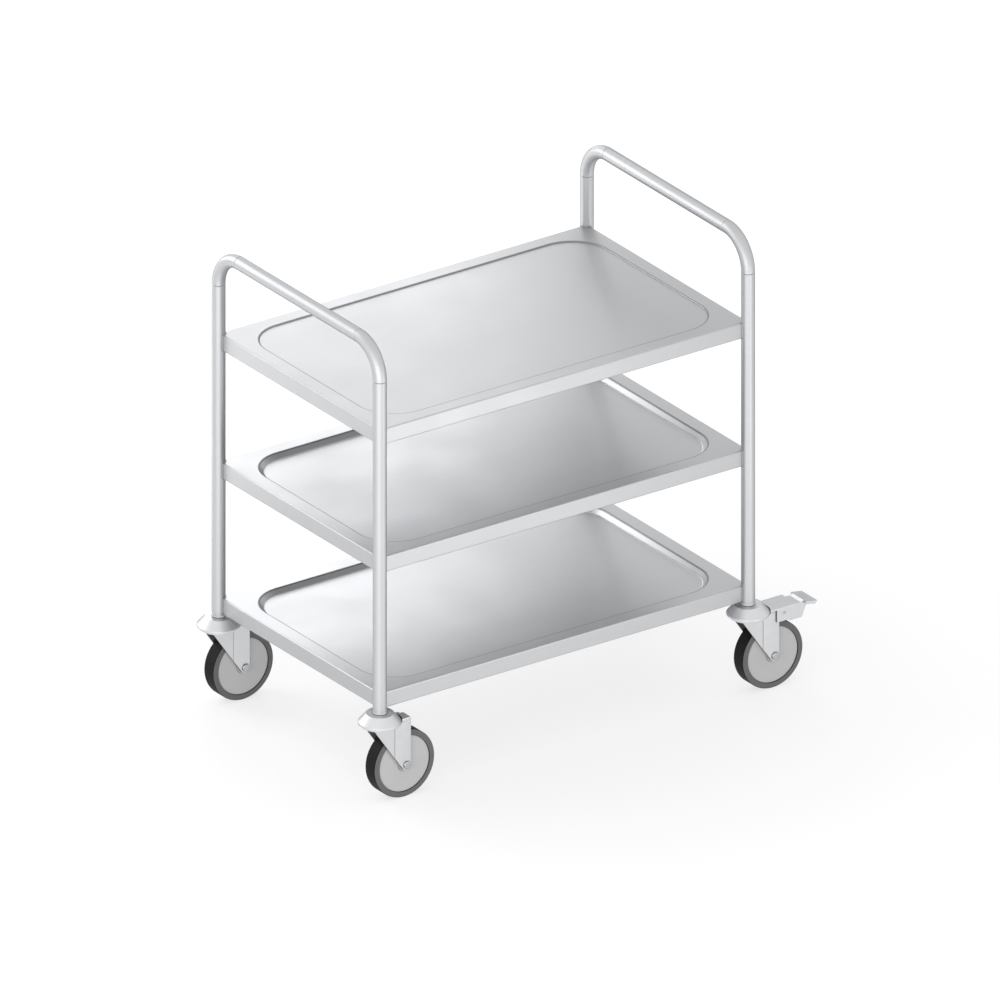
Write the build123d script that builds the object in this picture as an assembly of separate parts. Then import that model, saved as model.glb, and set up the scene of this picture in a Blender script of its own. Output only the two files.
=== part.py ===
from build123d import *
import os
from math import acos, atan2, cos, degrees, hypot, pi, radians, sin, sqrt

# Three-shelf serving trolley: welded stainless tube and sheet on four swivel castors.
# Millimetres, +Z up, floor at Z = 0. +X runs along the shelves to the braked end, front is -Y.
# The origin is the middle of the bounding box's base.

# Tube frame
overall_height = 899.5       # to the top of the push bars
post_spacing_length = 800.0
post_spacing_width = 500.0
tube_diameter = 25.0
tube_wall = 1.5
bend_radius = 65.0           # to the tube's centre line
weld_bevel = 0.8             # edge break on each side of a butt weld
weld_gap = 0.2               # between a shelf's coped corner and its post
foot_reveal = 2.5            # tube seen between its foot and the bottom shelf
lower_bay = 266.0            # from the bottom shelf's rim to the middle shelf's rim
upper_bay = 251.0            # from the middle shelf's rim to the top shelf's rim

# Shelves
sheet_thickness = 1.0
apron_depth = 31.0
fold_radius = 2.5            # outside radius of a folded edge
lip_width = 12.0             # flange folded inwards under the apron
rim_width = 30.0
recess_corner_radius = 75.0
tray_depth = 9.0             # pressed recess of the middle and bottom shelves
tray_wall_run = 9.0          # how far the recess wall slopes inwards
tray_floor_radius = 4.0
tray_edge_radius = 2.0
step_depth = 2.0             # shallow pressed step of the top shelf
step_wall_run = 1.5
step_floor_radius = 1.0
step_edge_radius = 0.8

# Wheel
wheel_diameter = 130.0
tyre_width = 30.0
tyre_section = 10.6          # rubber seen beside the wheel core
tyre_shoulder_radius = 2.0
core_face_inset = 1.5        # core face behind the tyre's side
core_edge_radius = 1.0
hub_diameter = 26.0
hub_side_gap = 0.6
bond_gap = 0.05              # between core and tyre
running_clearance = 0.08     # radial, between parts that turn on each other
seat_clearance = 0.1         # radial, between parts that are bolted up

# Axle
trail = 43.5                 # axle behind the swivel axis
axle_diameter = 8.0
sleeve_wall = 2.0
axle_head_diameter = 14.0
axle_head_height = 3.0
axle_head_radius = 1.8
axle_nut_width = 13.0        # across flats
axle_nut_height = 6.5
axle_thread_tail = 1.5

# Fork
fork_sheet = 3.0
leg_thickness = 2.5
leg_side_gap = 2.0           # between tyre and leg
leg_end_radius = 10.2
leg_front_reach = 25.0       # top of a leg's front edge ahead of the swivel axis
rib_width = 34.7
rib_raise = 1.0              # at the rib's edges
rib_crown = 1.2              # more at its middle
rib_edge_radius = 0.8
rib_corner_radius = 4.0      # where the rib's front edge meets the leg's slanted edge
rib_edge_share = 0.9         # most of the rib's raise that its edge may take
axle_boss_diameter = 17.0    # flat seat on the rib for the bolt's head or nut
tyre_to_crown = 17.5
lug_rise = 6.5               # lug on the crown's rear edge, over the front leg
lug_depth = 24.0             # inwards from the leg's outer face
lug_edge_radius = 2.0
crown_flange = 4.0           # flat ring round the dome

# Swivel head
swivel_gap = 1.5             # between crown and cap rim
cap_sheet = 3.0
cap_top_diameter = 50.0
cap_rim_diameter = 78.0
cap_rim_band = 3.0
cap_cone_rise = 16.0
cap_edge_radius = 1.2
rim_clearance = 1.2          # radial, between the cap's rim and what turns round it
dome_gap = 6.5               # between the cap's underside and the fork's dome
ball_diameter = 6.0
ball_count = 20
race_gap = 0.3

# Castor fixing in the post
stem_diameter = 12.0
stem_head_width = 18.0       # across flats
stem_head_height = 7.5
washer_thickness = 2.5
washer_gap = 0.4
well_wall = 1.0              # between the dome's well and a leg
plug_length = 60.0
collar_height = 3.5          # plug's collar between cap and tube
collar_edge_radius = 0.8
cone_height = 12.0
cone_taper = 3.0
stem_thread_tail = 2.0

# Brake
housing_rise = 6.0           # housing top above the fork's crown
housing_sheet = 2.5
housing_depth = 26.0
housing_length = 35.3        # from the fork's rear edge to the housing's end
housing_lap = 7.5            # how far the housing's sides reach forwards over the legs
housing_fit_gap = 0.2        # between a leg's rib and the housing's side
housing_fold_radius = 3.0
pivot_behind_axle = 18.5
pin_diameter = 6.0
lever_hub_diameter = 13.0
lever_width = 35.0
lever_sheet = 2.5
hub_end_gap = 0.5            # between the lever's hub and the housing's side
lever_top_gap = 0.8
lever_plate_start = 11.0     # behind the pivot
cheek_low_start = 16.5       # behind the pivot
cheek_clearance = 4.0        # above the tyre
cheek_overhang = 15.4        # cheek's lower corner past the housing's end
cheek_slant = 12.5           # how far the cheek's upper corner leans out
spring_thickness = 1.2
spring_width = 24.0
spring_reach = 8.0           # past the pivot
spring_gap = 0.3
spring_end_gap = 0.5         # between the fork's rear edge and the spring
pedal_swing = 8.0            # degrees from released to pressed
shoe_start = 11.5            # behind the pivot
shoe_length = 13.0
shoe_side_gap = 2.0
shoe_gap = 0.5               # above the tyre with the pedal pressed
neck_length = 13.2           # between the housing's end and the footplate's ramp
neck_ramp = 7.0
footplate_length = 24.0
footplate_width = 48.0
footplate_rise = 2.0         # above the lever's plate
footplate_drop = 4.0         # fall towards the tip
lip_depth = 5.5              # lip turned down round the footplate, from its top
lip_lean = 4.5               # how far the lip's foot leans in at the tip
grip_count = 3
grip_diameter = 2.0
grip_sink = 0.4              # depth of a grip bar's axis in the footplate

# Heights that follow from the stack of pieces
axle_height = wheel_diameter / 2
crown_bottom = wheel_diameter + tyre_to_crown
crown_top = crown_bottom + fork_sheet
rim_bottom = crown_top + swivel_gap
rim_top = rim_bottom + cap_rim_band
cap_top = rim_top + cap_cone_rise
post_foot = cap_top + collar_height
bottom_shelf_top = post_foot + foot_reveal + apron_depth
middle_shelf_top = bottom_shelf_top + lower_bay
top_shelf_top = middle_shelf_top + upper_bay

# Radii and widths shared by pieces that meet
tube_radius = tube_diameter / 2
tube_bore = tube_radius - tube_wall
push_bar_axis = overall_height - tube_radius
post_top = push_bar_axis - bend_radius
wheel_radius = wheel_diameter / 2
tyre_half = tyre_width / 2
core_radius = wheel_radius - tyre_section
axle_radius = axle_diameter / 2
sleeve_radius = axle_radius + seat_clearance + sleeve_wall
leg_inner = tyre_half + leg_side_gap
leg_outer = leg_inner + leg_thickness
rib_outer = leg_outer + rib_raise + rib_crown
fork_rear = trail + leg_end_radius
rib_front = fork_rear - rib_width
cap_top_radius = cap_top_diameter / 2
rim_radius = cap_rim_diameter / 2
turning_radius = rim_radius + rim_clearance
stem_radius = stem_diameter / 2
stem_bore = stem_radius + seat_clearance
well_radius = leg_inner - well_wall
dome_top = cap_top - cap_sheet - dome_gap
dome_underside = dome_top - fork_sheet

# Brake stack, measured down from the housing's top
housing_top = crown_top + housing_rise
housing_under = housing_top - housing_sheet
housing_inner = rib_outer + housing_fit_gap
housing_outer = housing_inner + housing_sheet
housing_start = fork_rear - housing_lap
housing_end = fork_rear + housing_length
hub_radius = lever_hub_diameter / 2
pivot_x = trail + pivot_behind_axle
pivot_height = housing_under - spring_thickness - spring_gap - hub_radius
lever_half = lever_width / 2
lever_hub_half = housing_inner - hub_end_gap
lever_top = housing_under - lever_top_gap
footplate_start = housing_end + neck_length + neck_ramp
footplate_end = footplate_start + footplate_length

# The shelves' centre stands off the origin, because the pedal reaches further than the caps
shelf_centre_x = (rim_radius - footplate_end) / 2

# Post axes, by corner
corners = {
    "left_front": (shelf_centre_x - post_spacing_length / 2, -post_spacing_width / 2),
    "left_rear": (shelf_centre_x - post_spacing_length / 2, post_spacing_width / 2),
    "right_front": (shelf_centre_x + post_spacing_length / 2, -post_spacing_width / 2),
    "right_rear": (shelf_centre_x + post_spacing_length / 2, post_spacing_width / 2),
}
braked_corner = "right_front"

upright = (Align.CENTER, Align.CENTER, Align.MIN)
hanging = (Align.CENTER, Align.CENTER, Align.MAX)
rearward = (Align.MIN, Align.CENTER, Align.MIN)
rearward_hanging = (Align.MIN, Align.CENTER, Align.MAX)
crosswise = Rot(-90, 0, 0)   # turns an upright piece to point along +Y


def save(name, *solids):
    """Write one node, made of one solid or of a group of separate ones."""
    shape = solids[0] if len(solids) == 1 else Compound(children=list(solids))
    export_step(shape, f"parts/{name}.step")


def side_plate(points, near, far):
    """Plate with an outline in X and Z, between two distances in front of the XZ plane."""
    outline = Polygon(*points, align=None)
    return extrude(Plane.XZ.offset(near) * outline, far - near)


def across(points, half_width):
    """Plate with an outline in X and Z, centred on the XZ plane."""
    return extrude(Plane.XZ * Polygon(*points, align=None), half_width, both=True)


def round_corner(outline, point, radius):
    """Round the corner of a flat outline that lies nearest to a point."""
    corner = outline.vertices().sort_by_distance((*point, 0))[0]
    return fillet(corner, radius)


def turned(outline):
    """Solid turned about Z from an outline of radius and height."""
    return revolve(Plane.XZ * outline, Axis.Z)


def hexagon(width, height, bore):
    """Nut or bolt head of a width across flats, standing on Z = 0."""
    body = extrude(RegularPolygon(width / 2, 6, major_radius=False), height)
    if bore:
        body -= Cylinder(bore, height, align=upright)
    return body


# Tube frame


def outer_circles(tube):
    """Edges round the outside of a tube's ends."""
    circles = tube.edges().filter_by(GeomType.CIRCLE)
    return [edge for edge in circles if abs(edge.radius - tube_radius) < tube_wall / 2]


def straight_tube(length, both_ends):
    """Upright tube from Z = 0, its outer edge broken for a weld at the top or at both ends."""
    tube = Cylinder(tube_radius, length, align=upright) - Cylinder(tube_bore, length, align=upright)
    welded = [edge for edge in outer_circles(tube) if both_ends or edge.center().Z > length / 2]
    return chamfer(welded, weld_bevel)


def elbow():
    """Quarter bend from the top of a post at the origin towards +Y."""
    section = Circle(tube_radius) - Circle(tube_bore)
    bend = revolve(section, Axis((0, bend_radius, 0), (-1, 0, 0)), 90)
    return chamfer(outer_circles(bend), weld_bevel)


# Shelves


def recess(depth, wall_run, floor_radius, growth):
    """Pressed hollow below Z = 0 with sloping walls, grown all round by a thickness."""
    mouth = RectangleRounded(
        post_spacing_length - 2 * rim_width + 2 * growth,
        post_spacing_width - 2 * rim_width + 2 * growth,
        recess_corner_radius + growth,
    )
    slope = degrees(atan2(wall_run, depth))
    hollow = extrude(mouth, depth + growth, dir=(0, 0, -1), taper=slope)
    return fillet(hollow.faces().sort_by(Axis.Z)[0].edges(), floor_radius + growth)


def shelf(depth, wall_run, floor_radius, edge_radius):
    """Shelf with its rim on Z = 0: pressed recess, folded aprons with lips, coped corners."""
    length, width = post_spacing_length, post_spacing_width
    block = Box(length, width, apron_depth, align=hanging)
    folds = block.edges().filter_by(Axis.Z, reverse=True)
    block = fillet(folds, fold_radius)
    inner_length = length - 2 * sheet_thickness
    inner_width = width - 2 * sheet_thickness
    inner_height = apron_depth - 2 * sheet_thickness
    inside = Pos(0, 0, -sheet_thickness) * Box(inner_length, inner_width, inner_height, align=hanging)
    inner_folds = inside.edges().filter_by(Axis.Z, reverse=True)
    inside = fillet(inner_folds, fold_radius - sheet_thickness)
    opening = Box(length - 2 * lip_width, width - 2 * lip_width, apron_depth, align=hanging)
    underside = Pos(0, 0, sheet_thickness - apron_depth) * opening
    tray = block - inside - underside
    tray += recess(depth, wall_run, floor_radius, sheet_thickness)
    tray -= recess(depth, wall_run, floor_radius, 0)
    mouth_edges = tray.faces().filter_by(Plane.XY).sort_by(Axis.Z)[-1].inner_wires()[0].edges()
    tray = fillet(mouth_edges, edge_radius)
    cope = Cylinder(tube_radius + weld_gap, apron_depth, align=hanging)
    for side_x in (-1, 1):
        for side_y in (-1, 1):
            tray -= Pos(side_x * length / 2, side_y * width / 2, 0) * cope
    return tray


# Castor, with the swivel axis on Z and the wheel trailing towards +X


def cone_radius(height, depth):
    """Radius, at a height, of the cone that lies a depth below the cap's outside."""
    run = rim_radius - cap_top_radius
    slant = hypot(run, cap_cone_rise)
    return cap_top_radius + (cap_top - height) * run / cap_cone_rise - depth * slant / cap_cone_rise


def swivel_cap():
    """Pressed cone-shaped head under the post, which holds the upper ball race."""
    under = cap_top - cap_sheet
    outline = Polygon(
        (stem_bore, cap_top),
        (cap_top_radius, cap_top),
        (rim_radius, rim_top),
        (rim_radius, rim_bottom),
        (cone_radius(rim_bottom, cap_sheet), rim_bottom),
        (cone_radius(under, cap_sheet), under),
        (stem_bore, under),
        align=None,
    )
    outline = round_corner(outline, (cap_top_radius, cap_top), cap_edge_radius)
    outline = round_corner(outline, (rim_radius, rim_top), cap_edge_radius)
    return turned(outline)


def bearing_balls():
    """Ring of balls between the cap's cone and the fork's dome."""
    ball_radius = ball_diameter / 2
    race_depth = cap_sheet + race_gap + ball_radius
    run = rim_radius - cap_top_radius
    height = (cap_top + rim_top) / 2 - race_depth * run / hypot(run, cap_cone_rise)
    pitch = cone_radius(height, race_depth)
    balls = []
    for number in range(ball_count):
        angle = 2 * pi * number / ball_count
        balls.append(Pos(pitch * cos(angle), pitch * sin(angle), height) * Sphere(ball_radius))
    return balls


def leg_outline():
    """Leg in X and Z: slanted front edge, upright rear edge, round end about the axle."""
    reach_x = -leg_front_reach - trail
    reach_z = crown_bottom - axle_height
    tangent = atan2(reach_z, reach_x) + acos(leg_end_radius / hypot(reach_x, reach_z))
    blade = Polygon(
        (-leg_front_reach, crown_top),
        (-leg_front_reach, crown_bottom),
        (trail + leg_end_radius * cos(tangent), axle_height + leg_end_radius * sin(tangent)),
        (trail, axle_height),
        (fork_rear, axle_height),
        (fork_rear, crown_top),
        align=None,
    )
    return blade + Pos(trail, axle_height) * Circle(leg_end_radius)


def rib_plan(depth):
    """Rib from above: crowned outer face, and a depth inwards from the leg's outer face."""
    edge = -leg_outer - rib_raise
    inner = depth - leg_outer
    middle = (rib_front + fork_rear) / 2
    crowned = ThreePointArc((rib_front, edge), (middle, -rib_outer), (fork_rear, edge))
    rest = Polyline((fork_rear, edge), (fork_rear, inner), (rib_front, inner), (rib_front, edge))
    return make_face([crowned, rest])


def rib_outline():
    """Rib in X and Z: the rear part of the leg, its lower front corner rounded."""
    rear_part = Pos(rib_front, 0) * Rectangle(rib_width, crown_top, align=(Align.MIN, Align.MIN))
    outline = leg_outline() & rear_part
    corner = outline.vertices().group_by(Axis.X)[0].sort_by(Axis.Y)[0]
    return fillet(corner, rib_corner_radius)


def fork_side():
    """Front leg with its crowned rib and the flat boss at the axle."""
    leg = extrude(Plane.XZ.offset(leg_inner) * leg_outline(), leg_thickness)
    rib_space = extrude(Plane.XZ.offset(leg_outer) * rib_outline(), rib_outer - leg_outer)
    rib = rib_space & extrude(rib_plan(0), crown_top)
    outer_edges = rib.faces().sort_by(Axis.Y)[0].edges()
    rib = fillet(outer_edges, min(rib_edge_radius, rib_raise * rib_edge_share))
    boss = Cylinder(axle_boss_diameter / 2, rib_outer - leg_inner, align=upright)
    return leg + rib + Pos(trail, -rib_outer, axle_height) * crosswise * boss


def crown_lug(height, edge_radius):
    """Lug on the crown's rear edge over the front leg, clear of the cap as the fork turns."""
    lug = Pos(0, 0, crown_top) * extrude(rib_plan(lug_depth), height)
    if edge_radius:
        lug = fillet(lug.faces().sort_by(Axis.Z)[-1].edges(), edge_radius)
    return lug - Pos(0, 0, crown_top) * Cylinder(turning_radius, height, align=upright)


def fork(braked):
    """Pressed fork: domed crown with the lower race, a well for the stem's head, two legs."""
    dome_depth = cap_sheet + ball_diameter + 2 * race_gap
    base_radius = cone_radius(crown_top, dome_depth)
    flange_radius = base_radius + crown_flange
    crown = turned(
        Polygon(
            (stem_radius + running_clearance, dome_top),
            (cone_radius(dome_top, dome_depth), dome_top),
            (base_radius, crown_top),
            (flange_radius, crown_top),
            (flange_radius, crown_bottom),
            (well_radius, crown_bottom),
            (well_radius, dome_underside),
            (stem_radius + running_clearance, dome_underside),
            align=None,
        )
    )
    rear_plate = Box(fork_rear, 2 * leg_outer, fork_sheet, align=rearward)
    rear_plate = Pos(0, 0, crown_bottom) * rear_plate
    rear_plate -= Pos(0, 0, crown_bottom) * Cylinder(base_radius, fork_sheet, align=upright)
    side = fork_side()
    body = crown + rear_plate + side + mirror(side, Plane.XZ)
    if braked:
        seat = crown_lug(housing_under - crown_top, 0)
        body += seat
        body += mirror(seat, Plane.XZ)
    else:
        body += crown_lug(lug_rise, min(lug_edge_radius, lug_rise / 2))
    axle_hole = Cylinder(axle_radius + seat_clearance, 2 * rib_outer)
    return body - Pos(trail, 0, axle_height) * crosswise * axle_hole


def axle_bolt():
    """Low round-headed bolt along Y, head in front, thread past the nut behind."""
    shank = 2 * rib_outer + axle_nut_height + axle_thread_tail
    head = Cylinder(axle_head_diameter / 2, axle_head_height, align=hanging)
    head = fillet(head.faces().sort_by(Axis.Z)[0].edges(), axle_head_radius)
    bolt = head + Cylinder(axle_radius, shank, align=upright)
    return Pos(trail, -rib_outer, axle_height) * crosswise * bolt


def axle_nut():
    """Nut on the rear end of the axle bolt."""
    nut = hexagon(axle_nut_width, axle_nut_height, axle_radius + seat_clearance)
    return Pos(trail, rib_outer, axle_height) * crosswise * nut


def axle_sleeve():
    """Sleeve that the axle bolt clamps between the legs and the wheel turns on."""
    sleeve = Cylinder(sleeve_radius, 2 * leg_inner) - Cylinder(axle_radius + seat_clearance, 2 * leg_inner)
    return Pos(trail, 0, axle_height) * crosswise * sleeve


def wheel_core():
    """Moulded wheel centre: plain disc with a longer hub and the axle bore."""
    bore = sleeve_radius + running_clearance
    hub_half = leg_inner - hub_side_gap
    disc_half = tyre_half - core_face_inset
    hub = Cylinder(hub_diameter / 2, 2 * hub_half)
    disc = Cylinder(core_radius, 2 * disc_half)
    disc = fillet(disc.edges().filter_by(GeomType.CIRCLE), core_edge_radius)
    core = disc + hub - Cylinder(bore, 2 * hub_half)
    return Pos(trail, 0, axle_height) * crosswise * core


def tyre():
    """Rubber tyre with a flat tread and round shoulders, bonded to the core."""
    inner = core_radius + bond_gap
    outline = Polygon(
        (inner, -tyre_half),
        (wheel_radius, -tyre_half),
        (wheel_radius, tyre_half),
        (inner, tyre_half),
        align=None,
    )
    outline = round_corner(outline, (wheel_radius, -tyre_half), tyre_shoulder_radius)
    outline = round_corner(outline, (wheel_radius, tyre_half), tyre_shoulder_radius)
    return Pos(trail, 0, axle_height) * crosswise * turned(outline)


# Castor fixing, on the swivel axis


def stem_plug():
    """Plug in the foot of the post: a collar under the tube's end and a bore for the stem."""
    collar = Cylinder(tube_radius, collar_height, align=upright)
    collar = fillet(collar.edges().filter_by(GeomType.CIRCLE), min(collar_edge_radius, collar_height / 4))
    plug = collar + Cylinder(tube_bore - seat_clearance, plug_length, align=upright)
    return Pos(0, 0, cap_top) * (plug - Cylinder(stem_bore, plug_length, align=upright))


def stem_cone():
    """Tapered nut that the stem pulls down on the plug."""
    wide = tube_bore - seat_clearance
    cone = Cone(wide, wide - cone_taper, cone_height, align=upright)
    return Pos(0, 0, cap_top + plug_length) * (cone - Cylinder(stem_bore, cone_height, align=upright))


def stem_washer():
    """Washer under the dome that keeps the fork on the stem."""
    top = dome_underside - washer_gap
    washer = Cylinder(well_radius - well_wall, washer_thickness, align=hanging)
    return Pos(0, 0, top) * (washer - Cylinder(stem_bore, washer_thickness, align=hanging))


def stem_bolt():
    """Bolt from the fork's well up through the cap, the plug and the tapered nut."""
    seat = dome_underside - washer_gap - washer_thickness
    thread_end = cap_top + plug_length + cone_height + stem_thread_tail
    head = Pos(0, 0, seat - stem_head_height) * hexagon(stem_head_width, stem_head_height, 0)
    return head + Pos(0, 0, seat) * Cylinder(stem_radius, thread_end - seat, align=upright)


# Brake, behind the fork


def tyre_height_at(x):
    """Height of the tread at a distance behind the swivel axis."""
    return axle_height + sqrt(wheel_radius**2 - (x - trail) ** 2)


def brake_housing():
    """Folded channel over the tyre, seated on the fork's rear lugs and lapped over its legs."""
    cover = Box(housing_end, 2 * housing_outer, housing_sheet, align=rearward_hanging)
    side_length = housing_end - housing_start
    skirt = Box(side_length, 2 * housing_outer, housing_depth, align=rearward_hanging)
    body = Pos(0, 0, housing_top) * cover + Pos(housing_start, 0, housing_top) * skirt
    long_edges = body.edges().filter_by(Axis.X).group_by(Axis.Z)[-1]
    body = fillet(long_edges, housing_fold_radius)
    space = Box(side_length, 2 * housing_inner, housing_depth, align=rearward_hanging)
    body -= Pos(housing_start, 0, housing_under) * space
    body -= Cylinder(turning_radius, housing_top, align=upright)
    pin_hole = Cylinder(pin_diameter / 2 + seat_clearance, 2 * housing_outer)
    return body - Pos(pivot_x, 0, pivot_height) * crosswise * pin_hole


def pivot_pin():
    """Pin through the lever's hub, its ends flush with the housing's sides."""
    return Pos(pivot_x, 0, pivot_height) * crosswise * Cylinder(pin_diameter / 2, 2 * housing_outer)


def detent_spring():
    """Flat spring under the housing's top that rides on the lever's hub."""
    start = fork_rear + spring_end_gap
    strip = Box(pivot_x + spring_reach - start, spring_width, spring_thickness, align=rearward_hanging)
    return Pos(start, 0, housing_under) * strip


def pedal_lever():
    """Folded lever: hub on the pivot pin, two cheeks, top plate and ribbed, lipped footplate."""
    hub = Cylinder(hub_radius, 2 * lever_hub_half)
    lever = Pos(pivot_x, 0, pivot_height) * crosswise * hub
    low_x = pivot_x + cheek_low_start
    low_z = tyre_height_at(low_x) + cheek_clearance
    cheek = side_plate(
        (
            (pivot_x, pivot_height - hub_radius),
            (low_x, low_z),
            (housing_end + cheek_overhang, low_z),
            (housing_end + cheek_overhang + cheek_slant, lever_top),
            (pivot_x + lever_plate_start, lever_top),
            (pivot_x, pivot_height + hub_radius),
        ),
        lever_half - lever_sheet,
        lever_half,
    )
    lever += cheek
    lever += mirror(cheek, Plane.XZ)
    ramp_start = footplate_start - neck_ramp
    neck_end_top = lever_top + footplate_rise
    lever += across(
        (
            (pivot_x + lever_plate_start, lever_top - lever_sheet),
            (ramp_start, lever_top - lever_sheet),
            (footplate_start, neck_end_top - lever_sheet),
            (footplate_start, neck_end_top),
            (ramp_start, lever_top),
            (pivot_x + lever_plate_start, lever_top),
        ),
        lever_half,
    )
    tip_top = neck_end_top - footplate_drop
    lever += across(
        (
            (footplate_start, neck_end_top - lever_sheet),
            (footplate_end, tip_top - lever_sheet),
            (footplate_end, tip_top),
            (footplate_start, neck_end_top),
        ),
        footplate_width / 2,
    )
    lip_foot = footplate_end - lip_lean
    side_lip = side_plate(
        (
            (footplate_start, neck_end_top),
            (footplate_start, neck_end_top - lip_depth),
            (lip_foot, tip_top - lip_depth),
            (footplate_end, tip_top),
        ),
        footplate_width / 2 - lever_sheet,
        footplate_width / 2,
    )
    lever += side_lip
    lever += mirror(side_lip, Plane.XZ)
    lever += across(
        (
            (footplate_end - lever_sheet, tip_top),
            (lip_foot - lever_sheet, tip_top - lip_depth),
            (lip_foot, tip_top - lip_depth),
            (footplate_end, tip_top),
        ),
        footplate_width / 2,
    )
    grip_radius = grip_diameter / 2
    for number in range(grip_count):
        share = (number + 1) / (grip_count + 1)
        grip_x = footplate_start + share * footplate_length
        grip_z = neck_end_top - share * footplate_drop - grip_sink
        lever += Pos(grip_x, 0, grip_z) * crosswise * Cylinder(grip_radius, footplate_width)
    bore = Cylinder(pin_diameter / 2 + running_clearance, 2 * lever_hub_half)
    return lever - Pos(pivot_x, 0, pivot_height) * crosswise * bore


def brake_shoe():
    """Moulded shoe under the lever's plate, hollowed to the tread as it lies when pressed."""
    half_width = lever_half - lever_sheet - shoe_side_gap
    swing = radians(pedal_swing)
    to_axle_x = trail - pivot_x
    to_axle_z = axle_height - pivot_height
    hollow_x = pivot_x + to_axle_x * cos(swing) - to_axle_z * sin(swing)
    hollow_z = pivot_height + to_axle_x * sin(swing) + to_axle_z * cos(swing)
    height = lever_top - lever_sheet - axle_height
    block = Box(shoe_length, 2 * half_width, height, align=rearward_hanging)
    block = Pos(pivot_x + shoe_start, 0, lever_top - lever_sheet) * block
    tread = Cylinder(wheel_radius + shoe_gap, 2 * housing_outer)
    return block - Pos(hollow_x, 0, hollow_z) * crosswise * tread


os.makedirs("parts", exist_ok=True)

# Posts, elbows and push bars
bar_length = post_spacing_width - 2 * bend_radius
quarter = elbow()
for corner, (x, y) in corners.items():
    save(f"{corner}_post", Pos(x, y, post_foot) * straight_tube(post_top - post_foot, both_ends=False))
    inwards = Rot(0, 0, 0) if y < 0 else Rot(0, 0, 180)
    save(f"{corner}_elbow", Pos(x, y, post_top) * inwards * quarter)
for end in ("left", "right"):
    bar_x = corners[f"{end}_front"][0]
    bar = crosswise * straight_tube(bar_length, both_ends=True)
    save(f"{end}_push_bar", Pos(bar_x, -bar_length / 2, push_bar_axis) * bar)

# Shelves
tray_shelf = shelf(tray_depth, tray_wall_run, tray_floor_radius, tray_edge_radius)
save("bottom_shelf", Pos(shelf_centre_x, 0, bottom_shelf_top) * tray_shelf)
save("middle_shelf", Pos(shelf_centre_x, 0, middle_shelf_top) * tray_shelf)
step_shelf = shelf(step_depth, step_wall_run, step_floor_radius, step_edge_radius)
save("top_shelf", Pos(shelf_centre_x, 0, top_shelf_top) * step_shelf)

# Castors, one set of pieces at each post
for corner, (x, y) in corners.items():
    post = Pos(x, y, 0)
    save(f"{corner}_swivel_cap", post * swivel_cap())
    save(f"{corner}_swivel_balls", *[post * ball for ball in bearing_balls()])
    save(f"{corner}_fork", post * fork(corner == braked_corner))
    save(f"{corner}_axle_bolt", post * axle_bolt())
    save(f"{corner}_axle_nut", post * axle_nut())
    save(f"{corner}_axle_sleeve", post * axle_sleeve())
    save(f"{corner}_wheel_core", post * wheel_core())
    save(f"{corner}_tyre", post * tyre())

# Stems, the same four pieces at each post
posts = [Pos(x, y, 0) for x, y in corners.values()]
save("stem_plugs", *[post * stem_plug() for post in posts])
save("stem_cones", *[post * stem_cone() for post in posts])
save("stem_washers", *[post * stem_washer() for post in posts])
save("stem_bolts", *[post * stem_bolt() for post in posts])

# Brake
brake_post = Pos(*corners[braked_corner], 0)
save("brake_housing", brake_post * brake_housing())
save("brake_pivot_pin", brake_post * pivot_pin())
save("brake_detent_spring", brake_post * detent_spring())
save("brake_pedal", brake_post * pedal_lever())
save("brake_shoe", brake_post * brake_shoe())
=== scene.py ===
import logging
import math
from dataclasses import dataclass, replace
from enum import Enum

import bpy
from mathutils import Matrix, Vector


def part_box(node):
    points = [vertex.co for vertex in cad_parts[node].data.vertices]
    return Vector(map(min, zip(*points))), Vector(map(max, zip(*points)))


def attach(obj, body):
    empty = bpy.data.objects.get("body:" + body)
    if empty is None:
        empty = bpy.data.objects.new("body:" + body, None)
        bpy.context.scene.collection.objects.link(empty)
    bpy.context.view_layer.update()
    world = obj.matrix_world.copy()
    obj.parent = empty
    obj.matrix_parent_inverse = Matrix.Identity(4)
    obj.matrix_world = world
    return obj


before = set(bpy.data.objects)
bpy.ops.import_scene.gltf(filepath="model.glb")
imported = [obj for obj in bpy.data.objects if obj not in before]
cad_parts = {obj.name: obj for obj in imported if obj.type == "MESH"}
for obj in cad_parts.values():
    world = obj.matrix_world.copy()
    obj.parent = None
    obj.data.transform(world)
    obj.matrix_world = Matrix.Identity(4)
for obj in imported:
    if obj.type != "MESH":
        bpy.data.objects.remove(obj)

LOG = logging.getLogger("trolley")
MM = 0.001


def linear(colour: str) -> tuple[float, float, float, float]:
    """Turn an sRGB hex colour into linear light.

    Args:
        colour: Six hex digits after a hash sign.

    Returns:
        Red, green, blue and an alpha of one.
    """
    channels = [int(colour[start:start + 2], 16) / 255 for start in (1, 3, 5)]
    light = [c / 12.92 if c <= 0.04045 else ((c + 0.055) / 1.055) ** 2.4 for c in channels]
    return (*light, 1.0)


def add_node(
    tree: bpy.types.NodeTree, kind: str, inputs: dict[str | int, object] | None = None, **settings: object
) -> bpy.types.Node:
    """Add a node with its settings, and feed its inputs by value or by link.

    Args:
        tree: Node tree that takes the node.
        kind: Blender's name for the kind of node.
        inputs: Value or output socket for each input, by name or number.
        settings: Properties of the node itself.

    Returns:
        The new node.
    """
    node = tree.nodes.new(kind)
    for name, value in settings.items():
        setattr(node, name, value)
    for name, value in (inputs or {}).items():
        if isinstance(value, bpy.types.NodeSocket):
            tree.links.new(value, node.inputs[name])
        else:
            node.inputs[name].default_value = value
    return node


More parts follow.
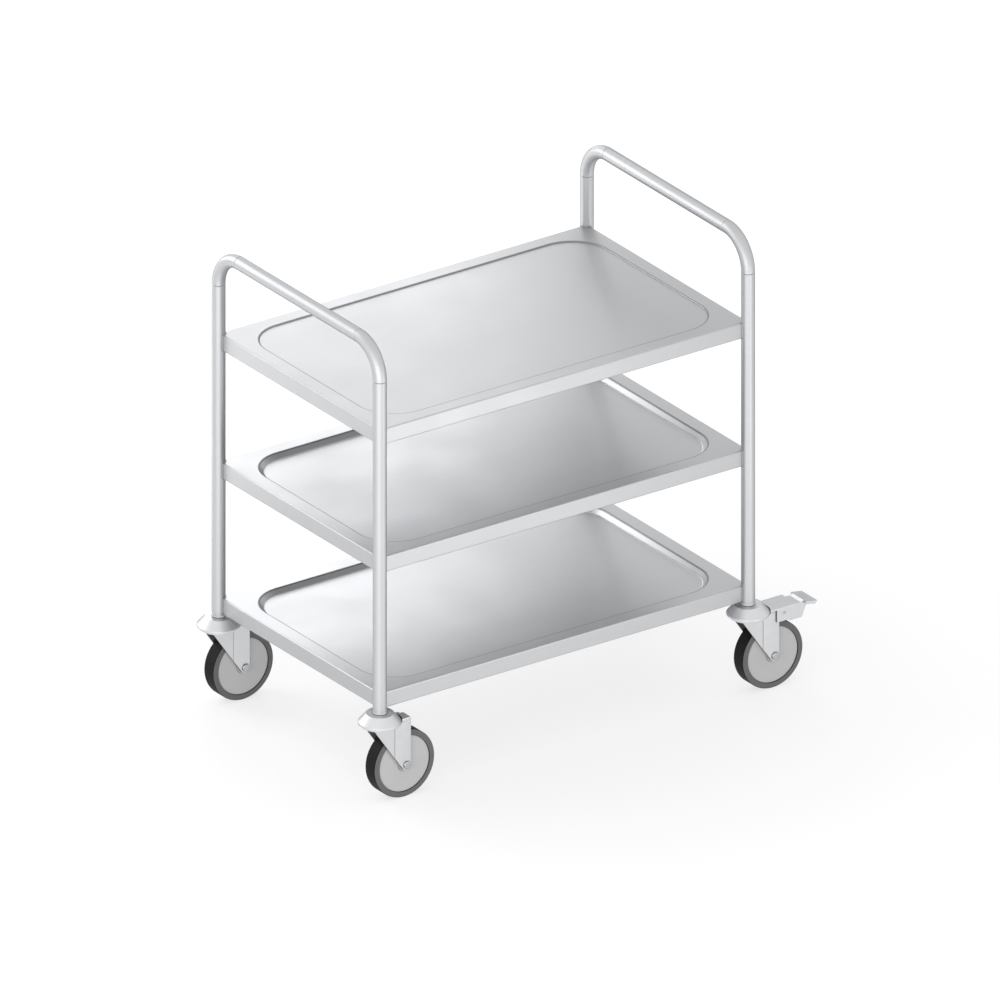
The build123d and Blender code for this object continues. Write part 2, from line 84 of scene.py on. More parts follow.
class Axis(Enum):
    """Directions that a tube or a wheel's axle can follow."""

    X = (1.0, 0.0, 0.0)
    Y = (0.0, 1.0, 0.0)
    Z = (0.0, 0.0, 1.0)


class End(Enum):
    """Ends of the trolley along X."""

    LEFT = "left"
    RIGHT = "right"


class Corner(Enum):
    """Corners of the trolley, with the quarter turns from the left front one."""

    LEFT_FRONT = ("left_front", 0)
    RIGHT_FRONT = ("right_front", 1)
    RIGHT_REAR = ("right_rear", 2)
    LEFT_REAR = ("left_rear", 3)

    @property
    def label(self) -> str:
        """Name of the corner as the nodes have it."""
        return self.value[0]

    @property
    def turn(self) -> float:
        """Angle about Z from the left front corner, in radians."""
        return self.value[1] * math.pi / 2

    @property
    def post_axis(self) -> Vector:
        """Middle of the corner's post, seen from above."""
        low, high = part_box(f"{self.label}_post")
        return Vector(((low.x + high.x) / 2, (low.y + high.y) / 2, 0))


class Level(Enum):
    """Shelves from the top down."""

    TOP = "top"
    MIDDLE = "middle"
    BOTTOM = "bottom"


@dataclass(frozen=True)
class Finish:
    """A surface as it was made, with the colour and gloss that this gives it, and a painted shade in its
    seams and inside corners.
    """

    name: str
    colour: str
    roughness: float
    metallic: float = 0.0
    tone_change: float = 0.04
    # The seam values darken the colour by ambient occlusion in seams and inside corners: painted shade.
    seam_reach: float = 3.0 * MM
    seam_tone: float = 0.35
    seam_closed: float = 0.4
    seam_open: float = 0.95
    seam_samples: int = 8

    def material(self) -> bpy.types.Material:
        """Return the material of this finish, made at its first use."""
        if self.name in bpy.data.materials:
            return bpy.data.materials[self.name]
        material = bpy.data.materials.new(self.name)
        material.use_nodes = True
        tree = material.node_tree
        tree.nodes.clear()
        shader = add_node(tree, "ShaderNodeBsdfPrincipled", {
            "Base Color": linear(self.colour),
            "Roughness": self.roughness,
            "Metallic": self.metallic,
        })
        add_node(tree, "ShaderNodeOutputMaterial", {"Surface": shader.outputs["BSDF"]})
        self.shade(tree, shader)
        return material

    def shade(self, tree: bpy.types.NodeTree, shader: bpy.types.Node) -> None:
        """Add what the finish has beyond a plain colour.

        Args:
            tree: Node tree of the material.
            shader: Its Principled shader.
        """

    def two_tone(self, tree: bpy.types.NodeTree, pattern: bpy.types.NodeSocket) -> bpy.types.NodeSocket:
        """Lighten and darken the colour a little by a pattern.

        Args:
            tree: Node tree of the material.
            pattern: Values from zero, dark, to one, light.

        Returns:
            Colour socket.
        """
        base = linear(self.colour)[:3]
        darker = [channel * (1 - self.tone_change) for channel in base]
        lighter = [min(1.0, channel * (1 + self.tone_change)) for channel in base]
        tone = add_node(tree, "ShaderNodeMix", {
            "Factor": pattern, 6: (*darker, 1.0), 7: (*lighter, 1.0),
        }, data_type="RGBA")
        return tone.outputs[2]

    def colour_with_seams(
        self, tree: bpy.types.NodeTree, shader: bpy.types.Node, tone: bpy.types.NodeSocket
    ) -> None:
        """Darken a colour in seams and inside corners as painted shade, and give it to the shader.

        Args:
            tree: Node tree of the material.
            shader: Its Principled shader.
            tone: Colour of the open surface.
        """
        # Painted shade: the less open the surface, the darker its colour.
        openness = add_node(
            tree, "ShaderNodeAmbientOcclusion", {"Distance": self.seam_reach}, samples=self.seam_samples
        )
        shade = add_node(tree, "ShaderNodeMapRange", {
            "Value": openness.outputs["AO"],
            "From Min": self.seam_closed,
            "From Max": self.seam_open,
            "To Min": self.seam_tone,
        })
        seam_shaded = add_node(tree, "ShaderNodeMix", {
            "Factor": 1.0, 6: tone, 7: shade.outputs[0],
        }, data_type="RGBA", blend_type="MULTIPLY")
        tree.links.new(seam_shaded.outputs[2], shader.inputs["Base Color"])

    def dress(self, *nodes: str) -> None:
        """Give this finish to CAD nodes.

        Args:
            nodes: Names of the nodes.
        """
        for node in nodes:
            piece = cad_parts[node]
            piece.data.materials.clear()
            piece.data.materials.append(self.material())
            LOG.info("%s: %s", node, self.name)


@dataclass(frozen=True)
class GroundSteel(Finish):
    """Stainless steel ground with a belt: fine marks one way, and gloss drawn out across them.

    The real marks are about 0.05 mm wide, so they are drawn wider to show at all. The edge colour tints what
    the steel mirrors at a glancing angle.
    """

    metallic: float = 1.0
    anisotropy: float = 0.4
    edge_colour: str = "#686868"
    mark_width: float = 1.6 * MM
    mark_length: float = 150.0 * MM
    mark_detail: float = 4.0
    mark_depth: float = 0.1 * MM
    mark_strength: float = 0.06
    cloud_size: float = 120.0 * MM
    cloud_detail: float = 2.0
    dullness_change: float = 0.05

    def lay(
        self, tree: bpy.types.NodeTree, place: bpy.types.Node
    ) -> tuple[bpy.types.NodeSocket, bpy.types.NodeSocket]:
        """Say how the marks lie on the piece.

        Args:
            tree: Node tree of the material.
            place: Texture coordinate node.

        Returns:
            Place on the piece in metres with the marks along its X, and the direction across the marks.
        """
        raise NotImplementedError

    def tone(
        self, tree: bpy.types.NodeTree, place: bpy.types.Node, marks: bpy.types.NodeSocket
    ) -> bpy.types.NodeSocket:
        """Colour the open surface by its grinding marks.

        Args:
            tree: Node tree of the material.
            place: Texture coordinate node.
            marks: Pattern of the marks.

        Returns:
            Colour socket.
        """
        return self.two_tone(tree, marks)

    def shade(self, tree: bpy.types.NodeTree, shader: bpy.types.Node) -> None:
        """Add the grinding marks and a faint cloudiness in the gloss.

        Args:
            tree: Node tree of the material.
            shader: Its Principled shader.
        """
        place = add_node(tree, "ShaderNodeTexCoord")
        laid, across = self.lay(tree, place)
        drawn_out = add_node(tree, "ShaderNodeMapping", {
            "Vector": laid, "Scale": (1 / self.mark_length, 1 / self.mark_width, 1 / self.mark_width),
        })
        marks = add_node(tree, "ShaderNodeTexNoise", {
            "Vector": drawn_out.outputs[0], "Scale": 1.0, "Detail": self.mark_detail,
        })
        clouds = add_node(tree, "ShaderNodeTexNoise", {
            "Vector": place.outputs["Object"], "Scale": 1 / self.cloud_size, "Detail": self.cloud_detail,
        })
        self.colour_with_seams(tree, shader, self.tone(tree, place, marks.outputs["Fac"]))
        dullness = add_node(tree, "ShaderNodeMapRange", {
            "Value": clouds.outputs["Fac"],
            "To Min": self.roughness - self.dullness_change,
            "To Max": self.roughness + self.dullness_change,
        })
        tree.links.new(dullness.outputs[0], shader.inputs["Roughness"])
        bump = add_node(tree, "ShaderNodeBump", {
            "Height": marks.outputs["Fac"], "Strength": self.mark_strength, "Distance": self.mark_depth,
        })
        tree.links.new(bump.outputs[0], shader.inputs["Normal"])
        shader.inputs["Anisotropic"].default_value = self.anisotropy
        shader.inputs["Specular Tint"].default_value = linear(self.edge_colour)
        tree.links.new(across, shader.inputs["Tangent"])


@dataclass(frozen=True)
class GroundTube(GroundSteel):
    """Straight tube ground round and round, so that light runs along it as one soft band."""

    along: Axis = Axis.Z

    def lay(
        self, tree: bpy.types.NodeTree, place: bpy.types.Node
    ) -> tuple[bpy.types.NodeSocket, bpy.types.NodeSocket]:
        """Lay the marks round the tube.

        Args:
            tree: Node tree of the material.
            place: Texture coordinate node.

        Returns:
            Place on the piece with the marks along its X, and the tube's direction.
        """
        point = add_node(tree, "ShaderNodeSeparateXYZ", {0: place.outputs["Object"]})
        laid = add_node(tree, "ShaderNodeCombineXYZ", {
            0: point.outputs["X"], 1: point.outputs[self.along.name],
        })
        across = add_node(tree, "ShaderNodeCombineXYZ", dict(enumerate(self.along.value)))
        return laid.outputs[0], across.outputs[0]


@dataclass(frozen=True, kw_only=True)
class GroundBend(GroundSteel):
    """Bent tube ground round and round, with the light band following the bend."""

    centre_y: float
    centre_z: float
    bend_radius: float

    def lay(
        self, tree: bpy.types.NodeTree, place: bpy.types.Node
    ) -> tuple[bpy.types.NodeSocket, bpy.types.NodeSocket]:
        """Lay the marks round the bent tube, front and rear alike.

        Args:
            tree: Node tree of the material.
            place: Texture coordinate node.

        Returns:
            Place on the piece with the marks along its X, and the direction along the bend.
        """
        point = add_node(tree, "ShaderNodeSeparateXYZ", {0: place.outputs["Object"]})
        side = add_node(tree, "ShaderNodeMath", {0: point.outputs["Y"]}, operation="SIGN")
        width = add_node(tree, "ShaderNodeMath", {0: point.outputs["Y"]}, operation="ABSOLUTE")
        out = add_node(tree, "ShaderNodeMath", {0: width.outputs[0], 1: self.centre_y}, operation="SUBTRACT")
        up = add_node(tree, "ShaderNodeMath", {0: point.outputs["Z"], 1: self.centre_z}, operation="SUBTRACT")
        angle = add_node(tree, "ShaderNodeMath", {0: up.outputs[0], 1: out.outputs[0]}, operation="ARCTAN2")
        arc = add_node(tree, "ShaderNodeMath", {
            0: angle.outputs[0], 1: self.bend_radius,
        }, operation="MULTIPLY")
        laid = add_node(tree, "ShaderNodeCombineXYZ", {0: point.outputs["X"], 1: arc.outputs[0]})
        down = add_node(tree, "ShaderNodeMath", {0: up.outputs[0], 1: -1.0}, operation="MULTIPLY")
        turn = add_node(tree, "ShaderNodeMath", {0: side.outputs[0], 1: out.outputs[0]}, operation="MULTIPLY")
        across = add_node(tree, "ShaderNodeCombineXYZ", {1: down.outputs[0], 2: turn.outputs[0]})
        return laid.outputs[0], across.outputs[0]


@dataclass(frozen=True, kw_only=True)
class GroundSheet(GroundSteel):
    """Sheet ground lengthwise before pressing and folding.

    The marks run along the shelf and down its end aprons. A thin dark line of painted shade follows the edge
    of the pressed recess, where its step would be shaded.
    """

    centre_x: float
    recess_length: float
    recess_width: float
    recess_corner: float = 75.0 * MM
    anisotropy: float = 0.5
    edge_colour: str = "#C8C8C8"
    line_reach: float = 1.8 * MM
    line_tone: float = 0.5
    out_of_reach: float = 10.0
    folded_facing: float = 0.8

    def tone(
        self, tree: bpy.types.NodeTree, place: bpy.types.Node, marks: bpy.types.NodeSocket
    ) -> bpy.types.NodeSocket:
        """Colour the open surface by its marks and by the painted shade line round the recess.

        Args:
            tree: Node tree of the material.
            place: Texture coordinate node.
            marks: Pattern of the marks.

        Returns:
            Colour socket.
        """
        centred = add_node(tree, "ShaderNodeVectorMath", {
            0: place.outputs["Object"], 1: (self.centre_x, 0, 0),
        }, operation="SUBTRACT")
        quarter = add_node(tree, "ShaderNodeVectorMath", {0: centred.outputs[0]}, operation="ABSOLUTE")
        # No point of the shelf is as high as the third value, so that only its plan counts.
        straight = (
            self.recess_length / 2 - self.recess_corner,
            self.recess_width / 2 - self.recess_corner,
            self.out_of_reach,
        )
        past = add_node(tree, "ShaderNodeVectorMath", {
            0: quarter.outputs[0], 1: straight,
        }, operation="SUBTRACT")
        corner = add_node(tree, "ShaderNodeVectorMath", {0: past.outputs[0]}, operation="MAXIMUM")
        round_part = add_node(tree, "ShaderNodeVectorMath", {0: corner.outputs[0]}, operation="LENGTH")
        sides = add_node(tree, "ShaderNodeSeparateXYZ", {0: past.outputs[0]})
        nearest = add_node(tree, "ShaderNodeMath", {
            0: sides.outputs["X"], 1: sides.outputs["Y"],
        }, operation="MAXIMUM")
        inside = add_node(tree, "ShaderNodeMath", {0: nearest.outputs[0], 1: 0.0}, operation="MINIMUM")
        reach = add_node(tree, "ShaderNodeMath", {
            0: round_part.outputs["Value"], 1: inside.outputs[0],
        }, operation="ADD")
        # Painted shade: a thin dark line along the edge of the recess.
        off = add_node(tree, "ShaderNodeMath", {
            0: reach.outputs[0], 1: self.recess_corner, 2: self.line_reach,
        }, operation="COMPARE")
        line = add_node(tree, "ShaderNodeMapRange", {
            "Value": off.outputs[0], "To Min": 1.0, "To Max": self.line_tone,
        })
        recess_shaded = add_node(tree, "ShaderNodeMix", {
            "Factor": 1.0, 6: self.two_tone(tree, marks), 7: line.outputs[0],
        }, data_type="RGBA", blend_type="MULTIPLY")
        return recess_shaded.outputs[2]

    def lay(
        self, tree: bpy.types.NodeTree, place: bpy.types.Node
    ) -> tuple[bpy.types.NodeSocket, bpy.types.NodeSocket]:
        """Lay the marks along the shelf, and upright where the sheet is folded down at its ends.

        Args:
            tree: Node tree of the material.
            place: Texture coordinate node.

        Returns:
            Place on the piece with the marks along its X, and the direction across the marks.
        """
        facing = add_node(tree, "ShaderNodeSeparateXYZ", {0: place.outputs["Normal"]})
        endways = add_node(tree, "ShaderNodeMath", {0: facing.outputs["X"]}, operation="ABSOLUTE")
        folded = add_node(tree, "ShaderNodeMath", {
            0: endways.outputs[0], 1: self.folded_facing,
        }, operation="GREATER_THAN")
        flat = add_node(tree, "ShaderNodeMath", {0: 1.0, 1: folded.outputs[0]}, operation="SUBTRACT")
        point = add_node(tree, "ShaderNodeSeparateXYZ", {0: place.outputs["Object"]})
        upright = add_node(tree, "ShaderNodeCombineXYZ", {
            0: point.outputs["Z"], 1: point.outputs["Y"], 2: point.outputs["X"],
        })
        laid = add_node(tree, "ShaderNodeMix", {
            0: folded.outputs[0], 4: place.outputs["Object"], 5: upright.outputs[0],
        }, data_type="VECTOR")
        mark = add_node(tree, "ShaderNodeCombineXYZ", {0: flat.outputs[0], 2: folded.outputs[0]})
        across = add_node(tree, "ShaderNodeVectorMath", {
            0: place.outputs["Normal"], 1: mark.outputs[0],
        }, operation="CROSS_PRODUCT")
        return laid.outputs[1], across.outputs[0]


@dataclass(frozen=True)
class ClearedWeld(Finish):
    """Fusion weld brushed clean: dull steel, warmer and more uneven than the sheet beside it."""

    metallic: float = 1.0
    tone_change: float = 0.12
    grain_size: float = 1.5 * MM
    grain_detail: float = 3.0
    grain_depth: float = 0.2 * MM
    grain_strength: float = 0.3

    def shade(self, tree: bpy.types.NodeTree, shader: bpy.types.Node) -> None:
        """Add the uneven skin of the weld.

        Args:
            tree: Node tree of the material.
            shader: Its Principled shader.
        """
        place = add_node(tree, "ShaderNodeTexCoord").outputs["Object"]
        skin = add_node(tree, "ShaderNodeTexNoise", {
            "Vector": place, "Scale": 1 / self.grain_size, "Detail": self.grain_detail,
        })
        self.colour_with_seams(tree, shader, self.two_tone(tree, skin.outputs["Fac"]))
        bump = add_node(tree, "ShaderNodeBump", {
            "Height": skin.outputs["Fac"], "Strength": self.grain_strength, "Distance": self.grain_depth,
        })
        tree.links.new(bump.outputs[0], shader.inputs["Normal"])


@dataclass(frozen=True)
class ZincPlate(Finish):
    """Plated or polished steel: faintly clouded, a little uneven in gloss and round at its edges."""

    metallic: float = 1.0
    cloud_size: float = 14.0 * MM
    cloud_detail: float = 5.0
    dullness_change: float = 0.06
    edge_colour: str = "#707070"
    edge_radius: float = 0.5 * MM
    edge_samples: int = 4

    def shade(self, tree: bpy.types.NodeTree, shader: bpy.types.Node) -> None:
        """Add the clouds of the plating bath and the round edges.

        Args:
            tree: Node tree of the material.
            shader: Its Principled shader.
        """
        place = add_node(tree, "ShaderNodeTexCoord").outputs["Object"]
        clouds = add_node(tree, "ShaderNodeTexNoise", {
            "Vector": place, "Scale": 1 / self.cloud_size, "Detail": self.cloud_detail,
        })
        self.colour_with_seams(tree, shader, self.two_tone(tree, clouds.outputs["Fac"]))
        dullness = add_node(tree, "ShaderNodeMapRange", {
            "Value": clouds.outputs["Fac"],
            "To Min": self.roughness - self.dullness_change,
            "To Max": self.roughness + self.dullness_change,
        })
        tree.links.new(dullness.outputs[0], shader.inputs["Roughness"])
        rounded = add_node(tree, "ShaderNodeBevel", {"Radius": self.edge_radius}, samples=self.edge_samples)
        tree.links.new(rounded.outputs[0], shader.inputs["Normal"])
        shader.inputs["Specular Tint"].default_value = linear(self.edge_colour)


@dataclass(frozen=True)
class Moulded(Finish):
    """Moulded plastic: one colour right through, with the fine grain of the mould and faint flow marks."""

    grain_size: float = 1.2 * MM
    grain_detail: float = 2.0
    grain_depth: float = 0.1 * MM
    grain_strength: float = 0.15
    flow_size: float = 40.0 * MM
    flow_detail: float = 2.0

    def shade(self, tree: bpy.types.NodeTree, shader: bpy.types.Node) -> None:
        """Add the mould's grain and the flow marks.

        Args:
            tree: Node tree of the material.
            shader: Its Principled shader.
        """
        place = add_node(tree, "ShaderNodeTexCoord").outputs["Object"]
        grain = add_node(tree, "ShaderNodeTexNoise", {
            "Vector": place, "Scale": 1 / self.grain_size, "Detail": self.grain_detail,
        })
        flow = add_node(tree, "ShaderNodeTexNoise", {
            "Vector": place, "Scale": 1 / self.flow_size, "Detail": self.flow_detail,
        })
        self.colour_with_seams(tree, shader, self.two_tone(tree, flow.outputs["Fac"]))
        bump = add_node(tree, "ShaderNodeBump", {
            "Height": grain.outputs["Fac"], "Strength": self.grain_strength, "Distance": self.grain_depth,
        })
        tree.links.new(bump.outputs[0], shader.inputs["Normal"])


@dataclass(frozen=True)
class TyreRubber(Finish):
    """Rubber with grey sides and a black tread, both matt; the tread's black is painted shade, set by which
    way the surface faces.
    """

    tread_shade_colour: str = "#121213"
    gloss: float = 0.15
    axle: Axis = Axis.Y
    tread_facing: float = 0.55
    side_facing: float = 0.8
    grain_size: float = 1.5 * MM
    grain_detail: float = 3.0
    grain_depth: float = 0.1 * MM
    grain_strength: float = 0.2

    def shade(self, tree: bpy.types.NodeTree, shader: bpy.types.Node) -> None:
        """Colour the sides and the tread by which way the surface faces, with painted shade on the tread and
        a matt grain.

        Args:
            tree: Node tree of the material.
            shader: Its Principled shader.
        """
        coordinates = add_node(tree, "ShaderNodeTexCoord")
        grain = add_node(tree, "ShaderNodeTexNoise", {
            "Vector": coordinates.outputs["Object"],
            "Scale": 1 / self.grain_size,
            "Detail": self.grain_detail,
        })
        facing = add_node(tree, "ShaderNodeSeparateXYZ", {0: coordinates.outputs["Normal"]})
        sideways = add_node(tree, "ShaderNodeMath", {0: facing.outputs[self.axle.name]}, operation="ABSOLUTE")
        side = add_node(tree, "ShaderNodeMapRange", {
            "Value": sideways.outputs[0], "From Min": self.tread_facing, "From Max": self.side_facing,
        })
        # Painted shade: surfaces facing away from the axle take the dark tread colour.
        tone = add_node(tree, "ShaderNodeMix", {
            "Factor": side.outputs[0],
            6: linear(self.tread_shade_colour),
            7: self.two_tone(tree, grain.outputs["Fac"]),
        }, data_type="RGBA")
        self.colour_with_seams(tree, shader, tone.outputs[2])
        shader.inputs["Specular IOR Level"].default_value = self.gloss
        bump = add_node(tree, "ShaderNodeBump", {
            "Height": grain.outputs["Fac"], "Strength": self.grain_strength, "Distance": self.grain_depth,
        })
        tree.links.new(bump.outputs[0], shader.inputs["Normal"])


SATIN_POST = GroundTube("satin_stainless_tube_upright", "#C8C9CB", roughness=0.5, along=Axis.Z)
SATIN_BAR = replace(SATIN_POST, name="satin_stainless_tube_level", along=Axis.Y)
CLEARED_WELD = ClearedWeld("cleared_stainless_weld", "#B5B5B4", roughness=0.45)
ZINC_CAP = ZincPlate("passivated_zinc_spinning", "#D8D9DB", roughness=0.42, metallic=0.9)
# The pressing's painted seam shade reaches further than the default.
ZINC_PRESSING = ZincPlate(
    "passivated_zinc_pressing", "#D8D9DB", roughness=0.32, metallic=0.9, seam_reach=4.0 * MM
)
ZINC_BOLT = ZincPlate("bright_zinc_bolt", "#B8BABC", roughness=0.3)
BALL_STEEL = ZincPlate("polished_ball_steel", "#B9BABC", roughness=0.12)
SPRING_STEEL = ZincPlate("blued_spring_steel", "#6A6C72", roughness=0.4)
GREY_CORE = Moulded("grey_polypropylene", "#D2D2D2", roughness=0.5)
WHITE_NYLON = Moulded("turned_nylon", "#E8E7E3", roughness=0.45)
TYRE = TyreRubber("grey_rubber_painted_dark_tread", "#777777", roughness=0.62)
BRAKE_RUBBER = TyreRubber("black_brake_rubber", "#2A2A2B", roughness=0.7)


@dataclass
class TubeFrame:
    """Posts, bends and push bars of satin ground tube."""

    corners: tuple[Corner, ...] = tuple(Corner)
    ends: tuple[End, ...] = tuple(End)

    def bend_finish(self) -> GroundBend:
        """Return the finish of the bends, centred where a bend of the frame turns."""
        low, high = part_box(f"{Corner.LEFT_REAR.label}_elbow")
        return GroundBend(
            "satin_stainless_tube_bend",
            SATIN_POST.colour,
            SATIN_POST.roughness,
            centre_y=low.y,
            centre_z=low.z,
            bend_radius=(high.y - low.y) - (high.x - low.x) / 2,
        )

    def dress(self) -> None:
        """Give each tube its finish, with the gloss along the tube."""
        bend = self.bend_finish()
        for corner in self.corners:
            SATIN_POST.dress(f"{corner.label}_post")
            bend.dress(f"{corner.label}_elbow")
        for end in self.ends:
            SATIN_BAR.dress(f"{end.value}_push_bar")


@dataclass
class Shelf:
    """One pressed and folded shelf, with the weld beads that hold it to the posts."""

    level: Level
    bead_radius: float = 1.3 * MM
    bead_sides: int = 8
    ripple_pitch: float = 1.4 * MM
    ripple: float = 1.14
    rim_width: float = 30.0 * MM

    def dress(self) -> None:
        """Give the sheet its brushed finish, with a painted shade line round the recess."""
        node = f"{self.level.value}_shelf"
        low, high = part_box(node)
        GroundSheet(
            "brushed_stainless_sheet",
            "#C3C4C6",
            roughness=0.42,
            centre_x=(low.x + high.x) / 2,
            recess_length=high.x - low.x - 2 * self.rim_width,
            recess_width=high.y - low.y - 2 * self.rim_width,
        ).dress(node)

    def start_bead(self, place: Vector, lean: float) -> None:
        """Start a bead with a round end, in edit mode.

        Args:
            place: Middle of the end.
            lean: Turn about X of an end that faces up, in radians.
        """
        bpy.ops.mesh.select_all(action="DESELECT")
        bpy.ops.mesh.primitive_circle_add(
            vertices=self.bead_sides,
            radius=self.bead_radius,
            fill_type="NGON",
            location=place,
            rotation=(lean, 0, 0),
        )

    def swell(self, step: int, place: Vector) -> None:
        """Make the newest ring of a bead a ripple's crest or trough.

        Args:
            step: Number of the ring.
            place: Middle of the ring.
        """
        size = self.ripple if step % 2 else 1 / self.ripple
        bpy.ops.transform.resize(value=(size, size, size), center_override=place)

    def upright_bead(self, foot: Vector, length: float) -> None:
        """Run a bead up an apron's edge.

        Args:
            foot: Lower end.
            length: How far up it runs.
        """
        self.start_bead(foot, 0.0)
        steps = round(length / self.ripple_pitch)
        rise = length / steps
        for step in range(1, steps + 1):
            bpy.ops.mesh.extrude_region_move(TRANSFORM_OT_translate={"value": (0, 0, rise)})
            self.swell(step, foot + Vector((0, 0, step * rise)))

    def round_bead(self, axis: Vector, radius: float, height: float) -> None:
        """Run a bead round a quarter of a post, on the shelf's rim.

        Args:
            axis: Point on the post's axis.
            radius: Radius of the post.
            height: Height of the rim.
        """
        start = Vector((axis.x + radius, axis.y, height))
        self.start_bead(start, -math.pi / 2)
        steps = round(radius * math.pi / 2 / self.ripple_pitch)
        angle = math.pi / 2 / steps
        for step in range(1, steps + 1):
            bpy.ops.mesh.spin(steps=1, angle=-angle, center=axis, axis=(0, 0, 1))
            turn = Matrix.Rotation(step * angle, 4, "Z")
            self.swell(step, axis + turn @ (start - axis))

    def build(self) -> None:
        """Model the beads of the left front corner and copy them to the other corners."""
        low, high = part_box(f"{self.level.value}_shelf")
        post_low, post_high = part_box(f"{Corner.LEFT_FRONT.label}_post")
        axis = Corner.LEFT_FRONT.post_axis
        radius = (post_high.x - post_low.x) / 2
        bpy.ops.object.select_all(action="DESELECT")
        bpy.ops.mesh.primitive_circle_add(vertices=self.bead_sides, radius=self.bead_radius)
        bead = bpy.context.object
        bpy.ops.object.mode_set(mode="EDIT")
        bpy.ops.mesh.delete(type="VERT")
        foot = low.z + self.bead_radius
        length = high.z - low.z - self.bead_radius
        self.upright_bead(Vector((axis.x + radius, axis.y, foot)), length)
        self.upright_bead(Vector((axis.x, axis.y + radius, foot)), length)
        self.round_bead(axis, radius, high.z)
        bpy.ops.mesh.select_all(action="SELECT")
        bpy.ops.mesh.normals_make_consistent(inside=False)
        bpy.ops.mesh.faces_shade_smooth()
        bpy.ops.object.mode_set(mode="OBJECT")
        bead.data.materials.append(CLEARED_WELD.material())
        for corner in Corner:
            copy = bead.copy()
            copy.data = bead.data.copy()
            copy.name = f"{corner.label}_{self.level.value}_shelf_weld"
            bpy.context.scene.collection.objects.link(copy)
            to_corner = Matrix.Translation(corner.post_axis) @ Matrix.Rotation(corner.turn, 4, "Z")
            copy.data.transform(to_corner @ Matrix.Translation(-axis))
            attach(copy, "frame")
            LOG.info("%s: %d faces", copy.name, len(copy.data.polygons))
        bpy.data.objects.remove(bead)


@dataclass
class Castor:
    """One swivel castor."""

    corner: Corner

    def dress(self) -> None:
        """Give each piece of the castor its finish."""
        name = self.corner.label
        ZINC_CAP.dress(f"{name}_swivel_cap")
        ZINC_PRESSING.dress(f"{name}_fork")
        ZINC_BOLT.dress(f"{name}_axle_bolt", f"{name}_axle_nut", f"{name}_axle_sleeve")
        BALL_STEEL.dress(f"{name}_swivel_balls")
        GREY_CORE.dress(f"{name}_wheel_core")
        TYRE.dress(f"{name}_tyre")


@dataclass
class Stems:
    """Fixings in the feet of the posts."""

    def dress(self) -> None:
        """Give each group its finish."""
        ZINC_BOLT.dress("stem_cones", "stem_washers", "stem_bolts")
        WHITE_NYLON.dress("stem_plugs")


@dataclass
class Brake:
    """Foot brake on the right front castor."""

    def dress(self) -> None:
        """Give each piece of the brake its finish."""
        ZINC_PRESSING.dress("brake_housing", "brake_pedal")
        ZINC_BOLT.dress("brake_pivot_pin")
        SPRING_STEEL.dress("brake_detent_spring")
        BRAKE_RUBBER.dress("brake_shoe")


@dataclass(frozen=True)
class Softbox:
    """A large soft lamp, placed by where it stands round the picture's view."""

    name: str
    bearing: float
    rise: float
    distance: float
    size: tuple[float, float]
    power: float

    def hang(self, aim: Vector, front: Vector, right: Vector) -> None:
        """Hang the lamp so that it faces a point.

        Args:
            aim: Point that it faces.
            front: Level direction towards the camera.
            right: Direction to the picture's right.
        """
        bearing, rise = math.radians(self.bearing), math.radians(self.rise)
        level = front * math.cos(bearing) + right * math.sin(bearing)
        towards = level * math.cos(rise) + Vector((0, 0, math.sin(rise)))
        lamp = bpy.data.lights.new(self.name, "AREA")
        lamp.shape = "RECTANGLE"
        lamp.size, lamp.size_y = self.size
        lamp.energy = self.power
        holder = bpy.data.objects.new(self.name, lamp)
        bpy.context.scene.collection.objects.link(holder)
        holder.location = aim + towards * self.distance
        holder.rotation_euler = towards.to_track_quat("Z", "Y").to_euler()
        holder.visible_camera = False


